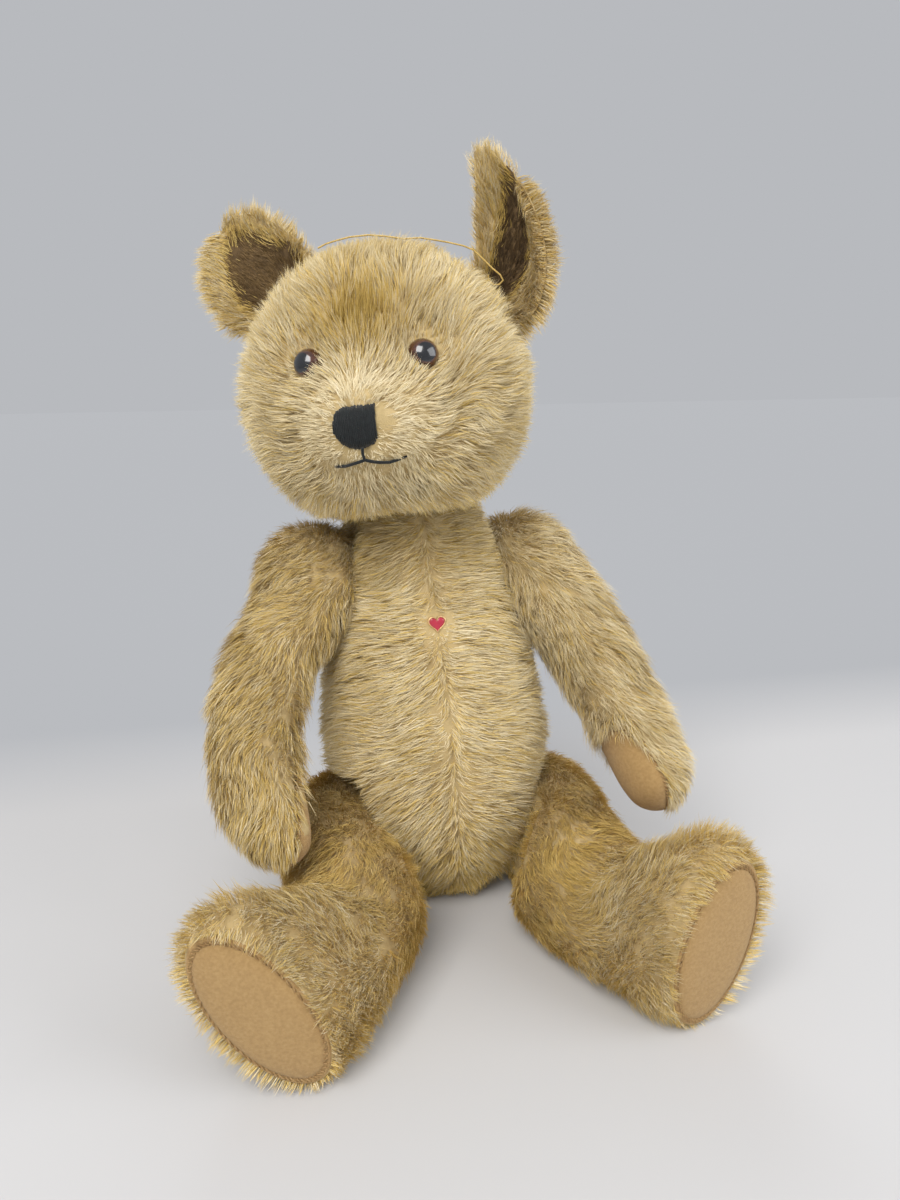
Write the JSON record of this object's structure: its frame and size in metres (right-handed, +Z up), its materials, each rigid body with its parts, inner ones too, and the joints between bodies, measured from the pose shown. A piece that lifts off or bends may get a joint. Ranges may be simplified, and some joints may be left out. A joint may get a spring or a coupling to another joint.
{
  "type": "jointed teddy bear",
  "caption": "Seated mohair teddy bear with a stuffed head, torso, arms and legs on disc joints, felt pads, glass eyes, embroidered nose and a small heart pin.",
  "frame": {"origin": "on the flat of the seat under the torso, at the surface that the bear sits on", "axes": "+Z up, the bear faces -Y, +X is towards its own left hand"},
  "size_m": [0.2457, 0.2348, 0.3795],
  "materials": {
    "mohair": "woven mohair pile, honey cream",
    "ear_lining": "worn mohair, brown inside the ear",
    "felt": "tan wool felt",
    "wood_wool": "packed wood wool",
    "card": "plain",
    "fibreboard": "pressed fibreboard",
    "pin_steel": "zinc-plated",
    "eye_glass": "dark brown glass with a black pupil",
    "black_thread": "cotton embroidery thread",
    "sewing_thread": "cotton thread",
    "enamel": "red enamel",
    "pin_gold": "rose gilt",
    "gold_thread": "gilt elastic thread"
  },
  "bodies": {
    "torso": {"torso_panel_right": "mohair", "torso_panel_left": "mohair", "torso_stuffing": "wood_wool", "torso_closing_stitches": "sewing_thread", "heart_pin_rim": "pin_gold", "heart_pin_enamel": "enamel", "heart_pin_clutch": "pin_gold", "neck_torso_disc": "fibreboard", "shoulder_torso_disc_right": "fibreboard", "shoulder_torso_disc_left": "fibreboard", "hip_torso_disc_right": "fibreboard", "hip_torso_disc_left": "fibreboard", "torso_joint_washers": "pin_steel"},
    "head": {"head_gusset": "mohair", "head_side_right": "mohair", "head_side_left": "mohair", "head_stuffing": "wood_wool", "eye_right": "eye_glass", "eye_left": "eye_glass", "nose_embroidery": "black_thread", "mouth_embroidery": "black_thread", "ear_front_right": "ear_lining", "ear_back_right": "mohair", "ear_front_left": "ear_lining", "ear_back_left": "mohair", "neck_head_disc": "fibreboard", "neck_washer": "pin_steel", "neck_split_pin": "pin_steel", "tag_thread": "gold_thread"},
    "right_arm": {"arm_outer_right": "mohair", "arm_inner_right": "mohair", "paw_pad_right": "felt", "arm_stuffing_right": "wood_wool", "shoulder_disc_right": "fibreboard", "shoulder_washer_right": "pin_steel", "shoulder_split_pin_right": "pin_steel"},
    "left_arm": {"arm_outer_left": "mohair", "arm_inner_left": "mohair", "paw_pad_left": "felt", "arm_stuffing_left": "wood_wool", "shoulder_disc_left": "fibreboard", "shoulder_washer_left": "pin_steel", "shoulder_split_pin_left": "pin_steel"},
    "right_leg": {"leg_outer_right": "mohair", "leg_inner_right": "mohair", "foot_pad_right": "felt", "insole_card_right": "card", "leg_stuffing_right": "wood_wool", "hip_disc_right": "fibreboard", "hip_washer_right": "pin_steel", "hip_split_pin_right": "pin_steel"},
    "left_leg": {"leg_outer_left": "mohair", "leg_inner_left": "mohair", "foot_pad_left": "felt", "insole_card_left": "card", "leg_stuffing_left": "wood_wool", "hip_disc_left": "fibreboard", "hip_washer_left": "pin_steel", "hip_split_pin_left": "pin_steel"}
  },
  "joints": [
    {"name": "neck", "type": "hinge", "parent": "torso", "child": "head", "pos_m": [-0.01126, 0.04568, 0.21091], "axis": [-0.0512, 0.2076, 0.9769], "continuous": true},
    {"name": "right_shoulder", "type": "hinge", "parent": "torso", "child": "right_arm", "pos_m": [-0.05007, 0.03477, 0.169], "axis": [-0.9658, -0.0675, 0.2504], "range_deg": [-70, 70]},
    {"name": "left_shoulder", "type": "hinge", "parent": "torso", "child": "left_arm", "pos_m": [0.03193, 0.03477, 0.169], "axis": [-0.9487, -0.0663, -0.309], "range_deg": [-70, 70]},
    {"name": "right_hip", "type": "hinge", "parent": "torso", "child": "right_leg", "pos_m": [-0.036, 0.008, 0.036], "axis": [-0.9661, 0.2054, -0.1564], "range_deg": [-95, 5]},
    {"name": "left_hip", "type": "hinge", "parent": "torso", "child": "left_leg", "pos_m": [0.032, 0.008, 0.036], "axis": [-0.9661, -0.2054, 0.1564], "range_deg": [-95, 5]}
  ]
}
